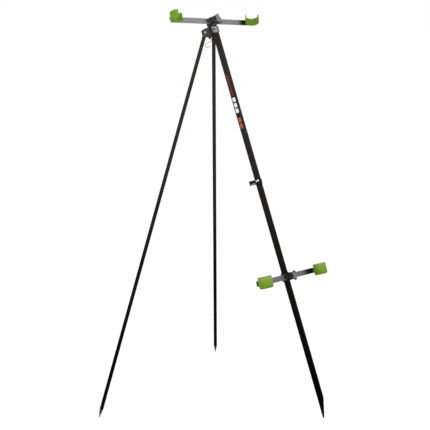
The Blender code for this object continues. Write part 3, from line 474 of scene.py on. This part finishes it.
def strap():
    """The strap: a turn of tape round the leg, its pull tail doubled back behind the leg."""
    centre = LEG_FRAME @ Matrix.Translation((0, 0, -STRAP_DROP))
    loop = []
    for quarter, (sx, sy) in enumerate(((-1, 1), (-1, -1), (1, -1), (1, 1))):
        loop += corner(sx * (STRAP_SIDE - STRAP_CORNER), sy * (STRAP_REAR - STRAP_CORNER),
                       STRAP_CORNER, quarter + 1, 4)
    loop[0] = (-STRAP_HALF_GAP, STRAP_REAR)
    loop[-1] = (STRAP_HALF_GAP, STRAP_REAR)
    turn = piece("strap_turn", band(loop, TAPE_THICK, STRAP_WIDTH), TAPE, "main_leg",
                 centre)

    outwards = [k / 8 for k in range(9)]
    fold = []
    for k in range(1, 5):
        angle = math.pi * k / 5
        fold.append((-TAIL_HALF * math.cos(angle),
                     STRAP_REAR + TAIL_REACH + TAIL_HALF * math.sin(angle)))
    tail = (tail_layer(-1, TAIL_BULGE_LEFT, outwards) + fold
            + tail_layer(1, TAIL_BULGE_RIGHT, outwards[::-1]))
    doubled = piece("strap_tail", band(tail, TAPE_THICK, STRAP_WIDTH - TAIL_NARROWING), TAPE,
                    "main_leg", centre @ Matrix.Translation((0, 0, TAIL_LIFT)))
    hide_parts("leg_strap")
    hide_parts("leg_strap")

    outer = -STRAP_SIDE - TAPE_THICK / 2
    for i, (middle, size) in enumerate(STRAP_MARKS):
        patch(f"strap_mark_{i}", middle, size, outer, MARK_WHITE, centre)

    # Painted highlight: a pale strip along the tail's left layer.
    covered = [HIGHLIGHT_START + HIGHLIGHT_SPAN * share for share in outwards]
    strip = tail_layer(-1, TAIL_BULGE_LEFT, covered, HIGHLIGHT_OUTSET)
    highlight_strip = piece("strap_tail_painted_highlight", band(strip, HIGHLIGHT_THICK, HIGHLIGHT_WIDTH), TAPE_PAINTED_HIGHLIGHT,
                  "main_leg", centre @ Matrix.Translation((0, 0, -HIGHLIGHT_DROP)))
    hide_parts("leg_strap")


def patch(name, centre, size, surface, material, place):
    """A plain bar on a surface that faces -X at x = surface: centre is its (y, z) in place."""
    across, along = size
    radius = min(size) * PATCH_ROUNDING
    outline = []
    for quarter, (sy, sz) in enumerate(((1, 1), (-1, 1), (-1, -1), (1, -1))):
        outline += corner(sy * (across / 2 - radius), sz * (along / 2 - radius), radius, quarter, 3)
    under = surface - PATCH_LIFT

    def build(shape):
        lower = [shape.verts.new((under, y, z)) for y, z in outline]
        upper = [shape.verts.new((under - PATCH_THICK, y, z)) for y, z in outline]
        shape.faces.new(lower)
        shape.faces.new(reversed(upper))
        for i in range(len(lower)):
            j = (i + 1) % len(lower)
            shape.faces.new((lower[j], lower[i], upper[i], upper[j]))

    piece(name, build, material, "main_leg", place @ Matrix.Translation((0, *centre)))


def marks():
    """Plain bars of like colour and size where the leg carries print."""
    for label, count, first, pitch, size, material in LEG_MARKS:
        for i in range(count):
            patch(f"mark_{label}_{i}", (0.0, first - pitch * i), size, -LEG_WIDTH / 2, material,
                  LEG_FRAME)


def recess(bar, side):
    """A hexagonal recess on a bar screw's head: a grey ring round a sunk middle."""
    node = f"{bar}_bar_screw_{side}"
    low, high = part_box(node)
    middle = (low + high) / 2
    reach = max((v.co - middle).dot(OUT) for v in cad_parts[node].data.vertices)
    up = Vector((1, 0, 0)).cross(OUT).normalized()
    turn = Matrix((up.cross(OUT), up, OUT)).transposed().to_4x4()

    def build(shape):
        bmesh.ops.create_cone(shape, cap_ends=True, segments=SOCKET_SIDES, radius1=SOCKET_FOOT,
                              radius2=SOCKET_TOP, depth=SOCKET_HEIGHT)
        top = max(shape.faces, key=lambda face: face.calc_center_median().z)
        bmesh.ops.inset_individual(shape, faces=[top], thickness=SOCKET_RIM, depth=0.0)
        bmesh.ops.translate(shape, verts=top.verts, vec=(0, 0, -SOCKET_SINK))

    piece(f"{bar}_socket_{side}", build, SOCKET_GREY, f"{bar}_bar",
          Matrix.Translation(middle + OUT * reach) @ turn)


def floor():
    """A wide pale floor, which still takes the part's shadow."""
    mesh = bpy.data.meshes.new("floor")
    corners = [(FLOOR_REACH * sx, FLOOR_REACH * sy, 0)
               for sx, sy in ((-1, -1), (1, -1), (1, 1), (-1, 1))]
    mesh.from_pydata(corners, [], [(0, 1, 2, 3)])
    obj = bpy.data.objects.new("floor", mesh)
    bpy.context.scene.collection.objects.link(obj)
    obj.location.z = -FLOOR_DROP
    made, tree, shader = new_material("floor_pale")
    seen = seen_by(tree, "Is Camera Ray", "Is Glossy Ray")
    fill(tree, shader, {
        "Base Color": mixed(tree, seen, FLOOR_LIT, FLOOR_SEEN),
        "Roughness": 0.9,
        "Specular IOR Level": 0.1,
        "Emission Color": (1.0, 1.0, 1.0),
        "Emission Strength": combined(tree, "MULTIPLY", seen, FLOOR_GLOW),
    })
    mesh.materials.append(made)


def studio():
    """An even white world."""
    world = bpy.data.worlds.new("studio")
    bpy.context.scene.world = world
    world.use_nodes = True
    tree = world.node_tree
    seen = seen_by(tree, "Is Camera Ray", "Is Transmission Ray")
    strength = ranged(tree, seen, low=WORLD_LIT, high=WORLD_SEEN)
    fill(tree, tree.nodes["Background"], {"Color": (1.0, 1.0, 1.0), "Strength": strength})


def lamp(name, place, aim, size, power):
    data = bpy.data.lights.new(name, "AREA")
    data.shape = "DISK"
    data.size = size
    data.energy = power
    obj = bpy.data.objects.new(name, data)
    bpy.context.scene.collection.objects.link(obj)
    obj.location = place
    obj.rotation_euler = (Vector(aim) - Vector(place)).to_track_quat("-Z", "Y").to_euler()


def camera():
    """The photograph's camera: turned about Z, pitched down and rolled a little."""
    right = Vector((math.sin(CAMERA_TURN), -math.cos(CAMERA_TURN), 0.0))
    ahead = Vector((math.cos(CAMERA_TURN), math.sin(CAMERA_TURN), 0.0))
    data = bpy.data.cameras.new("camera")
    data.sensor_width = SENSOR
    data.lens = FOCAL_PIXELS / IMAGE_SIDE * SENSOR
    data.clip_end = CAMERA_CLIP
    obj = bpy.data.objects.new("camera", data)
    bpy.context.scene.collection.objects.link(obj)
    obj.location = (right * CAMERA_SIDE - ahead * CAMERA_DISTANCE
                    + Vector((0.0, FRAME_SHIFT, CAMERA_HEIGHT)))
    look = ahead * math.cos(CAMERA_PITCH) - Vector((0, 0, 1)) * math.sin(CAMERA_PITCH)
    up = ahead * math.sin(CAMERA_PITCH) + Vector((0, 0, 1)) * math.cos(CAMERA_PITCH)
    side = right * math.cos(CAMERA_ROLL) + up * math.sin(CAMERA_ROLL)
    top = up * math.cos(CAMERA_ROLL) - right * math.sin(CAMERA_ROLL)
    obj.rotation_euler = Matrix((side, top, -look)).transposed().to_euler()
    bpy.context.scene.camera = obj


for look, names in NODE_LOOKS.items():
    for node_name in names:
        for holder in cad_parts[node_name].material_slots:
            holder.material = look

strap()
marks()
for bar in ("head", "butt"):
    for side in ("left", "right"):
        recess(bar, side)

floor()
studio()
for settings in LAMPS:
    lamp(*settings)
camera()
bpy.context.scene.view_settings.view_transform = "Standard"
